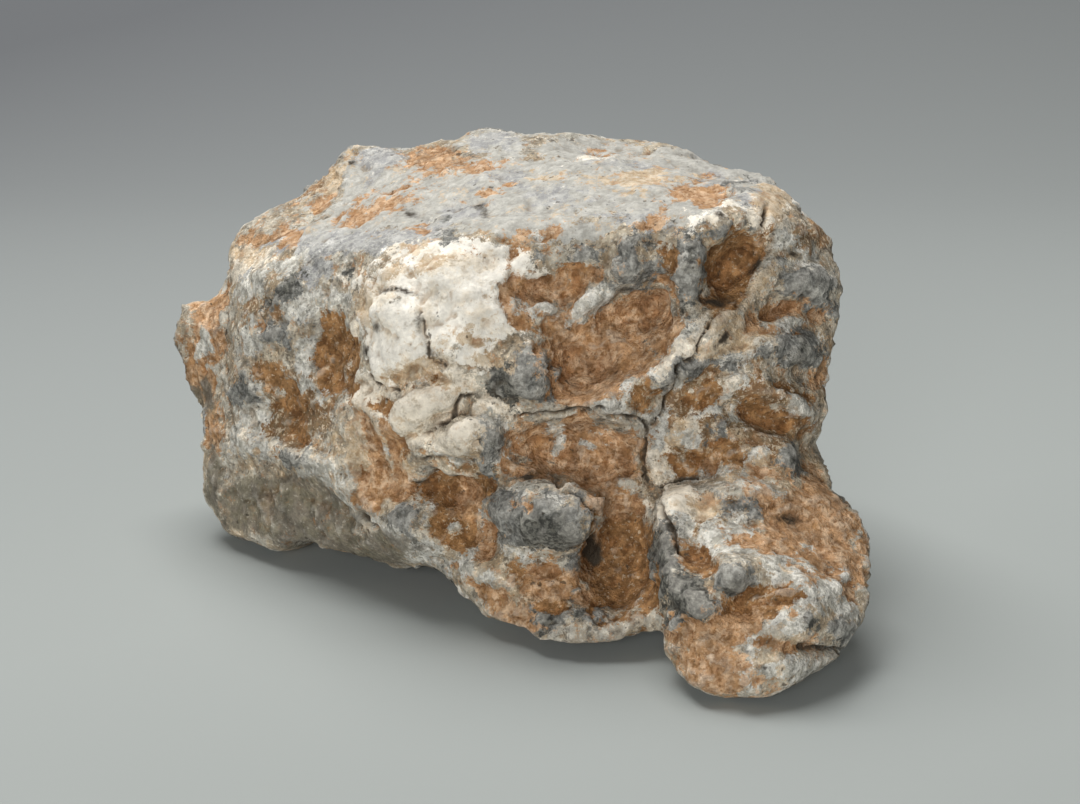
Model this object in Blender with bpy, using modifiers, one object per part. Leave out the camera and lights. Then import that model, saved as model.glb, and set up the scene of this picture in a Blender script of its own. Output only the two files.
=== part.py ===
"""A lunar meteorite: one broken, weathered breccia stone about 35 mm long.

The stone is shaped as a sculptor works from a drawing. Its outline and the forms on its face are
given by where they appear from one eye point in front of it, and its back and underside by plain
points in space. Blocks are fused into one stone, carved, roughened and pressed flat where it rests.
"""

import math

import bmesh
import bpy
import numpy as np
from mathutils import Vector, noise
from mathutils.bvhtree import BVHTree

MM = 0.001
NAME = "meteorite"

# Driving dimensions, in millimetres. The stone's frame has +X along its length, +Y away from the
# eye point and +Z up, with z = 0 on the surface that it rests on.
EYE_HEIGHT = 34.4
EYE_DISTANCE = 84.0
EYE_SIDE = 0.8
EYE_PITCH = math.radians(16.9)
DRAWING_DISTANCE = 90.0  # from the eye point to the drawing, along the line of sight

GRID = 0.42  # cell of the grid that fuses the blocks
FINISHED_TRIANGLES = 9000
CONTACT_HEIGHT = 0.12  # what lies lower than this is pressed flat onto the ground

WANDER = 0.4  # how far the edge of a carved form wanders from its plain outline
WANDER_LENGTH = 1.7
BROAD_ROUGHNESS = 0.6  # lumps all over the stone
BROAD_LENGTH = 5.0
FINE_ROUGHNESS = 0.25
FINE_LENGTH = 1.9
FACE_SHARE = 0.5  # how much of the roughness the carved face keeps

EYE = np.array((EYE_SIDE, -EYE_DISTANCE, EYE_HEIGHT))
AHEAD = np.array((0, math.cos(EYE_PITCH), -math.sin(EYE_PITCH)))
ACROSS = np.array((1, 0, 0))
UPWARD = np.array((0, math.sin(EYE_PITCH), math.cos(EYE_PITCH)))

# The blocks that the stone is broken into. A "seen" point is (right, up, y): its place on the
# drawing, and its y in the stone's frame. A "hidden" point is (x, y, z).
BLOCKS = {
    "body": {
        "seen": (
            (-3.0, 13.8, 11.0), (1.8, 13.2, 11.5), (6.3, 12.5, 10.0), (9.8, 12.0, 8.0),
            (12.1, 11.2, 5.0), (14.2, 8.6, 2.0), (15.1, 6.0, 0.0), (14.9, 3.6, -1.0),
            (13.2, -2.8, -4.0), (-8.4, 12.2, 12.0), (-11.8, 10.0, 11.5), (-16.0, 7.9, 9.5),
            (-16.4, 6.0, 7.5), (-16.3, 2.0, 5.5), (-16.4, -3.0, 5.5), (-17.1, -5.2, 5.0),
            (-13.0, 6.0, 2.5), (-8.0, 8.0, -0.5), (-2.0, 8.5, -2.5), (4.5, 8.8, -3.0),
            (9.0, 9.6, -3.0), (11.2, 9.8, -2.0), (-15.4, -2.0, 3.0), (-12.0, -3.2, 0.0),
            (-8.5, -5.0, -3.5), (-5.0, -7.3, -6.0), (-7.0, 3.0, -4.0), (-4.0, 0.5, -5.0),
            (0.0, 2.0, -5.0), (6.0, -3.5, -6.0), (12.2, -2.8, -5.5), (-15.6, -6.9, 2.6),
            (-13.5, -6.9, 1.6), (-11.0, -7.7, -0.6), (-7.0, -8.3, -2.6),
        ),
        "hidden": (
            (12.0, 11.0, -0.4), (14.5, 4.0, 8.0), (6.0, 14.0, 3.0), (-9.0, 12.0, -0.4),
            (-15.0, 12.0, 3.0), (-14.0, 14.0, 12.0), (0.0, 15.0, 15.0), (10.0, 12.5, 13.0),
            (11.0, 5.0, -0.2), (-14.0, 6.5, -0.4),
        ),
    },
    "crown": {
        "seen": (
            (-10.3, 11.6, 12.0), (-9.3, 12.8, 12.3), (-7.9, 13.0, 12.3), (-6.9, 12.6, 11.8),
            (-7.6, 11.0, 9.5), (-9.6, 11.0, 10.0),
        ),
        "hidden": ((-8.0, 13.5, 14.0), (-12.0, 13.0, 13.0), (-8.0, 9.0, 14.0)),
    },
    "shoulder": {
        "seen": (
            (-17.6, 5.3, 9.0), (-18.5, 3.6, 8.5), (-18.3, 1.5, 8.0), (-17.5, 0.1, 8.0),
            (-16.6, -1.9, 8.0), (-16.2, 5.5, 7.5), (-15.5, 3.0, 5.0), (-15.8, -1.0, 5.5),
        ),
        "hidden": ((-16.5, 11.5, 10.0), (-15.5, 12.0, 5.0)),
    },
    "foot": {
        "seen": (
            (6.3, -12.0, -12.0), (6.4, -13.4, -13.3), (7.2, -14.4, -14.7), (8.6, -14.9, -15.6),
            (10.2, -14.9, -15.6), (11.8, -14.6, -15.3), (13.3, -14.0, -14.5), (14.6, -13.2, -13.4),
            (15.3, -12.3, -12.8), (16.8, -11.1, -11.4), (17.1, -10.0, -10.6), (16.9, -8.4, -9.2),
            (16.5, -6.9, -7.9), (15.4, -5.1, -6.4), (14.5, -3.9, -5.2), (13.3, -2.9, -4.2),
            (6.2, -4.3, -7.4), (5.8, -8.0, -10.5), (9.0, -3.8, -7.2), (12.0, -3.5, -6.6),
            (9.0, -8.0, -11.8), (13.0, -9.5, -12.8), (8.0, -12.0, -14.2), (12.0, -12.0, -14.6),
        ),
        "hidden": (
            (9.0, -11.8, -0.3), (13.0, -10.5, -0.3), (12.8, -6.0, -0.3), (8.6, -7.5, -0.3),
            (14.5, -4.0, 3.0), (6.5, -3.0, 6.0), (12.7, 2.0, 8.0), (12.7, 3.0, 2.5),
        ),
    },
    "keel": {
        "seen": (
            (-5.6, -8.1, -4.8), (-3.8, -9.0, -6.0), (-1.2, -11.3, -9.2), (0.2, -12.9, -11.0),
            (1.8, -12.8, -11.0), (3.2, -11.3, -9.8), (5.2, -10.8, -9.6), (3.0, -8.5, -8.6),
            (-2.0, -8.0, -7.8), (6.8, -11.5, -10.4), (7.5, -6.0, -8.3),
        ),
        "hidden": (
            (-2.0, -2.0, 1.2), (4.0, -1.0, 1.6), (1.0, -4.0, 0.8), (3.0, -3.0, 6.0),
            (8.0, -3.0, 1.5), (8.5, -3.0, 7.0),
        ),
    },
    "tongue": {
        "seen": (
            (-2.9, -4.4, -6.8), (-0.6, -3.7, -8.0), (1.5, -4.2, -9.0), (3.2, -5.7, -9.8),
            (3.2, -6.4, -9.8), (2.0, -7.4, -9.2), (0.0, -8.1, -8.2), (-1.9, -7.5, -7.4),
            (0.4, -5.8, -9.4),
        ),
        "hidden": ((-2.0, -4.0, 8.0), (-1.0, -4.0, 4.0), (3.0, -5.0, 6.0)),
    },
}

# Rounded hollows and lumps on the face, as they appear on the drawing: right, up, half length,
# half width, turn in degrees, height (below 0 it goes in), and the share of it that is level
# before it falls away at the rim.
DENTS = {
    "central hollow": (
        (3.6, 3.6, 3.8, 2.5, 28, -1.3, 0.6), (5.4, 4.7, 2.0, 1.0, 10, -0.7, 0.5),
        (0.2, 5.6, 2.1, 0.9, 6, -0.8, 0.6), (1.9, 1.6, 1.7, 1.5, 0, -0.7, 0.5),
        (2.2, 6.6, 2.0, 0.6, 12, -0.6, 0.5),
    ),
    "scoop below the top edge": ((9.5, 6.8, 2.1, 1.2, 60, -1.4, 0.4),),
    "deep hollow beside the tongue": (
        (3.9, -8.2, 2.7, 1.8, 80, -2.2, 0.5), (2.9, -7.9, 1.0, 0.8, 90, -1.0, 0.3),
    ),
    "recess over the tongue": ((2.0, -2.5, 3.2, 1.5, -8, -1.1, 0.6),),
    "ochre recess": ((-10.3, 2.4, 2.1, 1.2, 80, -0.8, 0.6),),
    "hollow under the cream lumps": ((-5.0, -4.5, 2.1, 0.8, -8, -1.1, 0.5),),
    "swirl": ((-4.3, -6.0, 1.3, 1.0, 0, -0.5, 0.5),),
    "crumbled patch": ((-12.5, -0.3, 1.9, 1.4, 0, -0.5, 0.4),),
    "pit in the right column": ((11.6, -0.9, 1.4, 0.8, -14, -0.8, 0.5),),
    "notches in the right column": (
        (12.4, 1.0, 1.5, 0.45, -22, -0.8, 0.3), (11.2, 4.4, 1.7, 0.5, 16, -0.6, 0.3),
        (9.4, 3.4, 0.45, 0.3, 45, -0.7, 0.3), (13.2, 7.4, 1.8, 0.35, 0, -0.5, 0.3),
    ),
    "scoops in the foot": (
        (7.9, -7.9, 1.3, 0.6, -52, -0.9, 0.4), (10.9, -9.7, 2.2, 0.6, 26, -0.6, 0.3),
        (13.4, -6.4, 1.6, 0.7, -38, -0.4, 0.3), (9.0, -11.4, 2.4, 1.0, 24, -0.3, 0.3),
        (15.9, -11.5, 1.3, 0.5, 28, -0.7, 0.3),
    ),
    "dents in the white mass": (
        (-7.0, 5.5, 1.2, 0.35, -4, -0.6, 0.3), (-5.4, 2.6, 0.35, 1.0, 15, -0.5, 0.3),
        (-3.4, 6.5, 0.9, 0.3, 25, -0.3, 0.3), (-8.3, 2.6, 0.25, 0.5, -10, -0.5, 0.3),
    ),
    "white mass": ((-5.2, 4.0, 4.3, 4.0, 0, 0.9, 0.6),),
    "cream lumps": (
        (-7.2, -0.5, 2.6, 1.2, 12, 1.2, 0.4), (-3.6, -1.7, 1.9, 1.0, -18, 1.3, 0.4),
        (-5.6, -2.3, 1.2, 0.7, -10, 0.7, 0.3), (-2.3, -0.2, 1.3, 0.6, -12, 0.6, 0.3),
    ),
    "clast over the recess": ((-0.7, 1.4, 1.5, 1.4, 20, 1.2, 0.6),),
    "grey drips": ((4.6, 6.9, 0.8, 1.9, 4, 1.0, 0.5), (7.4, 6.4, 0.85, 2.0, -2, 1.1, 0.5)),
    "spurs in the hollow": (
        (3.0, 5.3, 1.3, 0.7, 32, 0.8, 0.4), (2.0, 4.2, 0.9, 0.6, 25, 0.7, 0.4),
        (0.0, 4.7, 0.8, 0.35, -10, 0.5, 0.4),
    ),
    "right column": (
        (12.9, 2.6, 1.4, 1.0, 0, 0.9, 0.4), (13.4, 5.8, 1.4, 1.2, 0, 0.9, 0.4),
        (12.7, 8.7, 1.8, 1.1, -25, 0.7, 0.4), (8.4, -2.0, 2.7, 1.6, 0, 0.7, 0.4),
        (12.3, -2.6, 0.8, 0.9, 0, 0.4, 0.3),
    ),
    "lumps on the foot": (
        (9.6, -8.4, 1.3, 1.1, -25, 0.9, 0.4), (12.4, -11.2, 2.0, 0.8, 8, 0.7, 0.4),
        (6.7, -5.1, 0.9, 1.1, 0, 0.7, 0.3), (15.0, -9.0, 1.1, 0.8, -20, 0.5, 0.3),
        (11.6, -13.1, 2.8, 0.7, 8, 0.5, 0.4), (13.0, -9.2, 1.3, 1.0, -30, 0.5, 0.3),
    ),
    "left speckled face": ((-14.0, 2.6, 1.4, 2.6, 0, 0.4, 0.4),),
    "left corner": ((-14.6, 6.3, 1.3, 0.9, 20, 0.5, 0.4),),
}

# Long crests and creases on the face: half width, height, and the line on the drawing.
RIDGES = {
    "crest across the column": (0.85, 1.0, ((3.4, 0.2), (5.5, 1.2), (7.4, 2.7), (9.2, 4.3))),
    "second crest": (0.8, 0.6, ((6.9, 1.3), (9.0, 2.2), (11.5, 2.8))),
    "arch": (0.6, 0.8, ((8.3, 0.2), (10.4, 1.0), (12.0, 0.6), (13.2, -0.6))),
    "lower edge of the left face": (
        0.7, 0.6,
        ((-15.4, -1.9), (-13.5, -2.7), (-11.9, -3.1), (-10.2, -3.5), (-9.0, -5.0), (-7.4, -6.0),
         (-5.6, -7.4), (-3.5, -8.0), (-2.0, -8.7)),
    ),
    "crease below it": (0.5, -0.7, ((-15.2, -3.2), (-12.5, -3.9), (-10.8, -4.6), (-9.1, -5.9))),
    "folds": (0.35, 0.4, ((-9.7, -1.0), (-9.6, -4.3))),
    "folds beside them": (0.35, 0.4, ((-8.4, -0.9), (-8.2, -4.8))),
    "crease of the shoulder": (0.4, -0.6, ((-15.8, 6.2), (-15.6, 3.0), (-15.9, 0.0), (-15.5, -2.5))),
    "crease over the foot": (0.35, -0.6, ((6.0, -4.2), (7.2, -3.7), (8.9, -3.6))),
    "foot of the column": (0.5, 0.5, ((9.4, -2.9), (11.0, -2.8), (12.6, -3.2))),
    "crease of the column": (0.35, -0.7, ((13.3, -1.3), (13.2, -3.6))),
    "crease beside the foot": (0.45, -0.9, ((5.7, -4.6), (5.6, -6.5), (5.7, -9.0), (6.2, -11.8))),
    "crest of the foot": (0.75, 0.8, ((6.0, -6.6), (6.7, -8.6), (8.3, -10.3))),
    "brow of the foot": (0.5, 0.8, ((9.0, -4.3), (10.6, -4.5), (12.3, -4.9))),
    "hollow below the brow": (0.5, -0.6, ((9.4, -5.3), (10.8, -5.8), (12.6, -5.9))),
    "edge of the foot": (0.8, 0.7, ((10.8, -8.0), (12.6, -8.6), (14.2, -10.0), (14.3, -11.5))),
    "split of the foot": (0.35, -0.9, ((10.9, -12.1), (12.6, -12.3), (15.2, -12.4))),
    "crease over the tongue": (0.4, -0.8, ((-2.2, -4.0), (0.9, -4.1), (2.6, -5.0), (3.2, -6.0))),
    "rim of the recess": (0.35, 0.5, ((-1.0, -0.7), (1.2, -0.4), (3.4, -0.6), (4.6, -1.4))),
    "rim of the scoop": (0.5, 0.6, ((8.4, 8.6), (9.8, 9.0), (11.0, 9.0))),
}

# Forms where the eye point does not reach: x, y, z of the middle, radius, height and level share.
HIDDEN_DENTS = {
    "right side": (
        (14.8, 3.5, 9.0, 3.6, -1.3, 0.3), (14.5, 9.0, 14.0, 3.2, 0.9, 0.2),
        (14.0, 9.5, 4.5, 3.0, -1.1, 0.4), (13.5, -3.0, 3.5, 2.4, -1.0, 0.3),
    ),
    "back": (
        (3.0, 16.0, 10.0, 4.4, -1.8, 0.4), (-7.0, 15.0, 6.0, 3.6, -1.4, 0.3),
        (-2.0, 15.5, 4.5, 3.2, 1.1, 0.2), (-11.5, 14.5, 9.0, 3.2, 1.0, 0.3),
        (10.0, 14.5, 4.0, 3.2, -1.2, 0.3), (-4.0, 15.5, 15.0, 3.0, -1.0, 0.3),
        (9.0, 14.0, 12.0, 3.0, 0.9, 0.4), (4.0, 15.5, 1.5, 2.8, -0.9, 0.3),
        (-13.5, 13.5, 3.5, 2.6, -1.0, 0.3),
    ),
    "left end": ((-17.0, 11.5, 6.0, 2.6, -0.9, 0.3), (-16.0, 9.0, 2.0, 2.2, -0.7, 0.3)),
    "underside": (
        (0.0, 5.0, 0.0, 7.5, -1.7, 0.4), (-8.0, 3.5, 0.0, 4.0, -1.0, 0.4),
        (7.0, -2.5, 0.5, 3.5, -1.2, 0.3), (10.5, -1.5, 0.8, 3.0, -1.2, 0.3),
        (3.0, 12.0, 0.0, 4.0, -1.0, 0.3),
    ),
}


def seen_point(right, up, y):
    """The point at this y behind a place on the drawing."""
    ray = AHEAD + (ACROSS * right + UPWARD * up) / DRAWING_DISTANCE
    return EYE + ray * ((y - EYE[1]) / ray[1])


def places_on_drawing(points):
    """Where each point appears on the drawing: how far right, and how far up."""
    from_eye = points - EYE
    scale = DRAWING_DISTANCE / (from_eye @ AHEAD)
    return from_eye @ ACROSS * scale, from_eye @ UPWARD * scale


def smooth_step(low, high, value):
    share = np.clip((value - low) / (high - low), 0, 1)
    return share * share * (3 - 2 * share)


def noise_at(points, length, seed):
    """Smooth noise from -1 to 1 at each point, with waves of about this length."""
    offset = Vector((seed * 17.3, seed * 5.1, seed * 9.7))
    return np.array([noise.noise(Vector(p) / length + offset) for p in points])


def add_block(stone, seen, hidden):
    """Adds the convex block around these points to the bmesh."""
    points = [Vector(seen_point(*p)) for p in seen] + [Vector(p) for p in hidden]
    corners = [stone.verts.new(p * MM) for p in points]
    hull = bmesh.ops.convex_hull(stone, input=corners)
    inside = [v for v in hull["geom_interior"] if isinstance(v, bmesh.types.BMVert)]
    bmesh.ops.delete(stone, geom=inside, context="VERTS")


def apply_modifiers(stone):
    graph = bpy.context.evaluated_depsgraph_get()
    mesh = bpy.data.meshes.new_from_object(stone.evaluated_get(graph))
    stone.modifiers.clear()
    stone.data = mesh


def fuse(stone):
    """Makes one closed skin on an even grid around everything in the mesh."""
    remesh = stone.modifiers.new("Fuse", "REMESH")
    remesh.mode = "VOXEL"
    remesh.voxel_size = GRID * MM
    apply_modifiers(stone)


def round_off(stone, repeat):
    smooth = stone.modifiers.new("Round", "SMOOTH")
    smooth.factor = 0.5
    smooth.iterations = repeat
    apply_modifiers(stone)


def points_of(mesh):
    flat = np.empty(len(mesh.vertices) * 3)
    mesh.vertices.foreach_get("co", flat)
    return flat.reshape(-1, 3) / MM


def normals_of(mesh):
    flat = np.empty(len(mesh.vertices) * 3)
    mesh.vertices.foreach_get("normal", flat)
    return flat.reshape(-1, 3)


def place_points(mesh, points):
    mesh.vertices.foreach_set("co", (points * MM).ravel())
    mesh.update()


def averaged_over_neighbours(mesh, values, repeat):
    """The values at the vertices, evened out along the edges."""
    ends = np.array([e.vertices[:] for e in mesh.edges])
    count = np.bincount(ends.ravel(), minlength=len(values))
    for _ in range(repeat):
        total = np.bincount(ends[:, 0], values[ends[:, 1]], len(values))
        total += np.bincount(ends[:, 1], values[ends[:, 0]], len(values))
        values = (values + total / count) / 2
    return values


def share_seen(mesh, points):
    """1 where a vertex is in plain sight of the eye point, falling to 0 where it is hidden."""
    to_eye = EYE - points
    to_eye /= np.linalg.norm(to_eye, axis=1)[:, None]
    facing = smooth_step(0.05, 0.4, (normals_of(mesh) * to_eye).sum(axis=1))
    tree = BVHTree.FromPolygons(
        [Vector(p) for p in points], [f.vertices[:] for f in mesh.polygons]
    )
    clear = np.array([
        tree.ray_cast(Vector(p + ray * GRID), Vector(ray))[0] is None
        for p, ray in zip(points, to_eye)
    ])
    return averaged_over_neighbours(mesh, facing * clear, 4)


def dent_height(right, up, dent):
    """The height that one rounded form adds at these places on the drawing."""
    centre_right, centre_up, half_length, half_width, turn, height, level = dent
    angle = math.radians(turn)
    along = (right - centre_right) * math.cos(angle) + (up - centre_up) * math.sin(angle)
    beside = (up - centre_up) * math.cos(angle) - (right - centre_right) * math.sin(angle)
    distance = np.hypot(along / half_length, beside / half_width)
    return height * (1 - smooth_step(level, 1.25, distance))


def distance_to_line(right, up, line):
    """The distance from each place on the drawing to a line of straight stretches."""
    nearest = np.full(len(right), np.inf)
    for (right_a, up_a), (right_b, up_b) in zip(line, line[1:]):
        across, rise = right_b - right_a, up_b - up_a
        share = ((right - right_a) * across + (up - up_a) * rise) / (across**2 + rise**2)
        share = np.clip(share, 0, 1)
        gap = np.hypot(right - right_a - across * share, up - up_a - rise * share)
        nearest = np.minimum(nearest, gap)
    return nearest


def carve_face(stone):
    """Moves the seen face along the lines of sight, in for hollows and out for lumps."""
    mesh = stone.data
    points = points_of(mesh)
    right, up = places_on_drawing(points)
    on_drawing = np.stack((right, up, np.zeros(len(right))), axis=1)
    right = right + WANDER * noise_at(on_drawing, WANDER_LENGTH, 1)
    up = up + WANDER * noise_at(on_drawing, WANDER_LENGTH, 2)
    height = np.zeros(len(right))
    for dents in DENTS.values():
        for dent in dents:
            height += dent_height(right, up, dent)
    for half_width, crest, line in RIDGES.values():
        height += crest * (1 - smooth_step(0, 2 * half_width, distance_to_line(right, up, line)))
    to_eye = EYE - points
    to_eye /= np.linalg.norm(to_eye, axis=1)[:, None]
    lift = height * share_seen(mesh, points)
    place_points(mesh, points + to_eye * lift[:, None])


def carve_hidden_sides(stone):
    """Moves the sides that the eye point does not reach along their own normals."""
    mesh = stone.data
    points = points_of(mesh)
    unseen = 1 - share_seen(mesh, points)
    wander = 1 + WANDER * noise_at(points, WANDER_LENGTH, 6)
    height = np.zeros(len(points))
    for dents in HIDDEN_DENTS.values():
        for x, y, z, radius, depth, level in dents:
            distance = np.linalg.norm(points - (x, y, z), axis=1) / radius * wander
            height += depth * (1 - smooth_step(level, 1.25, distance))
    place_points(mesh, points + normals_of(mesh) * (height * unseen)[:, None])


def roughen(stone):
    """Adds the lumps of a broken stone all over, fewer on the carved face."""
    mesh = stone.data
    points = points_of(mesh)
    broad = noise_at(points, BROAD_LENGTH, 3) + 0.5 - np.abs(noise_at(points, BROAD_LENGTH, 4)) * 2
    fine = noise_at(points, FINE_LENGTH, 5)
    share = 1 - (1 - FACE_SHARE) * share_seen(mesh, points)
    lift = (BROAD_ROUGHNESS * broad + FINE_ROUGHNESS * fine) * share
    place_points(mesh, points + normals_of(mesh) * lift[:, None])


def thin_out(stone):
    """Keeps as many faces as the finished stone may have, most of them where it bends."""
    decimate = stone.modifiers.new("Thin out", "DECIMATE")
    decimate.ratio = FINISHED_TRIANGLES / (2 * len(stone.data.polygons))
    decimate.use_collapse_triangulate = True
    apply_modifiers(stone)


def rest_on_ground(stone):
    """Presses the lowest spots flat at z = 0, and centres the stone over its origin."""
    mesh = stone.data
    points = points_of(mesh)
    points[points[:, 2] < CONTACT_HEIGHT, 2] = 0
    centre = (points.min(axis=0) + points.max(axis=0)) / 2
    points[:, :2] -= centre[:2]
    place_points(mesh, points)
    return centre


def finish(stone):
    mesh = stone.data
    mesh.shade_smooth()
    material = bpy.data.materials.new("weathered_breccia")
    material.use_nodes = True
    shader = material.node_tree.nodes["Principled BSDF"]
    shader.inputs["Base Color"].default_value = (0.42, 0.33, 0.25, 1)
    shader.inputs["Roughness"].default_value = 0.85
    shader.inputs["Metallic"].default_value = 0.0
    mesh.materials.clear()
    mesh.materials.append(material)
    collection = bpy.data.collections.new("lunar_meteorite")
    bpy.context.scene.collection.children.link(collection)
    collection.objects.link(stone)
    bpy.context.scene.collection.objects.unlink(stone)


def build():
    for old in list(bpy.data.objects):
        bpy.data.objects.remove(old)
    blocks = bmesh.new()
    for block in BLOCKS.values():
        add_block(blocks, **block)
    bmesh.ops.recalc_face_normals(blocks, faces=blocks.faces)
    stone = bpy.data.objects.new(NAME, bpy.data.meshes.new(NAME))
    blocks.to_mesh(stone.data)
    blocks.free()
    bpy.context.scene.collection.objects.link(stone)
    fuse(stone)
    round_off(stone, 3)
    carve_hidden_sides(stone)
    roughen(stone)
    carve_face(stone)
    fuse(stone)
    thin_out(stone)
    rest_on_ground(stone)
    finish(stone)


build()
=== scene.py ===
"""The looks of a lunar meteorite: a weathered breccia stone on a pale studio floor.

The stone's own solid is copied, its skin is made fine, and grain, pits, cracks and clasts are
modelled into it. Its colours are painted as fields on the fine mesh: on the face one by one, as they
appear from the camera's place, and on the sides, back and underside by noise. The material turns
the fields into crisp, mottled patches.
"""

import math

import bpy
import numpy as np
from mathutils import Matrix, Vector
from mathutils.bvhtree import BVHTree


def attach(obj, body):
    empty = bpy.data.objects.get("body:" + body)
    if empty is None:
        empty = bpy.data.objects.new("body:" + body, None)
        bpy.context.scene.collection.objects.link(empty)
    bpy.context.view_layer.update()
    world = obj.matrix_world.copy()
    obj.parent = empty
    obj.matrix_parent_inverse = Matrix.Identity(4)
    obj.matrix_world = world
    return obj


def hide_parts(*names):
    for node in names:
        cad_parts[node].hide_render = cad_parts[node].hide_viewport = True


MM = 0.001
NODE = "meteorite"

# The camera, in millimetres in the stone's frame.
EYE = np.array((2.293, -83.822, 34.4))
EYE_PITCH = math.radians(16.9)
LENS = 60
SENSOR = 36
CLIP_START = 1
DRAWING_DISTANCE = 90.0  # places on the face are given on a plane this far along the line of sight

AHEAD = np.array((0, math.cos(EYE_PITCH), -math.sin(EYE_PITCH)))
ACROSS = np.array((1, 0, 0))
UPWARD = np.array((0, math.sin(EYE_PITCH), math.cos(EYE_PITCH)))

WELD_GAP = 0.01  # points of the solid that are nearer than this become one
SKIN_CELL = 0.204  # grid of the fine skin
SKIN_SMOOTHING = 0.5  # how far each round of smoothing moves a point, as a share
SKIN_SMOOTHING_ROUNDS = 6
WANDER = 0.3  # how far the painted patches wander
WANDER_LENGTH = 1.3
RAGGED = 0.3  # how ragged the edges of the patches are
RAGGED_LENGTH = 1.0

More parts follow.
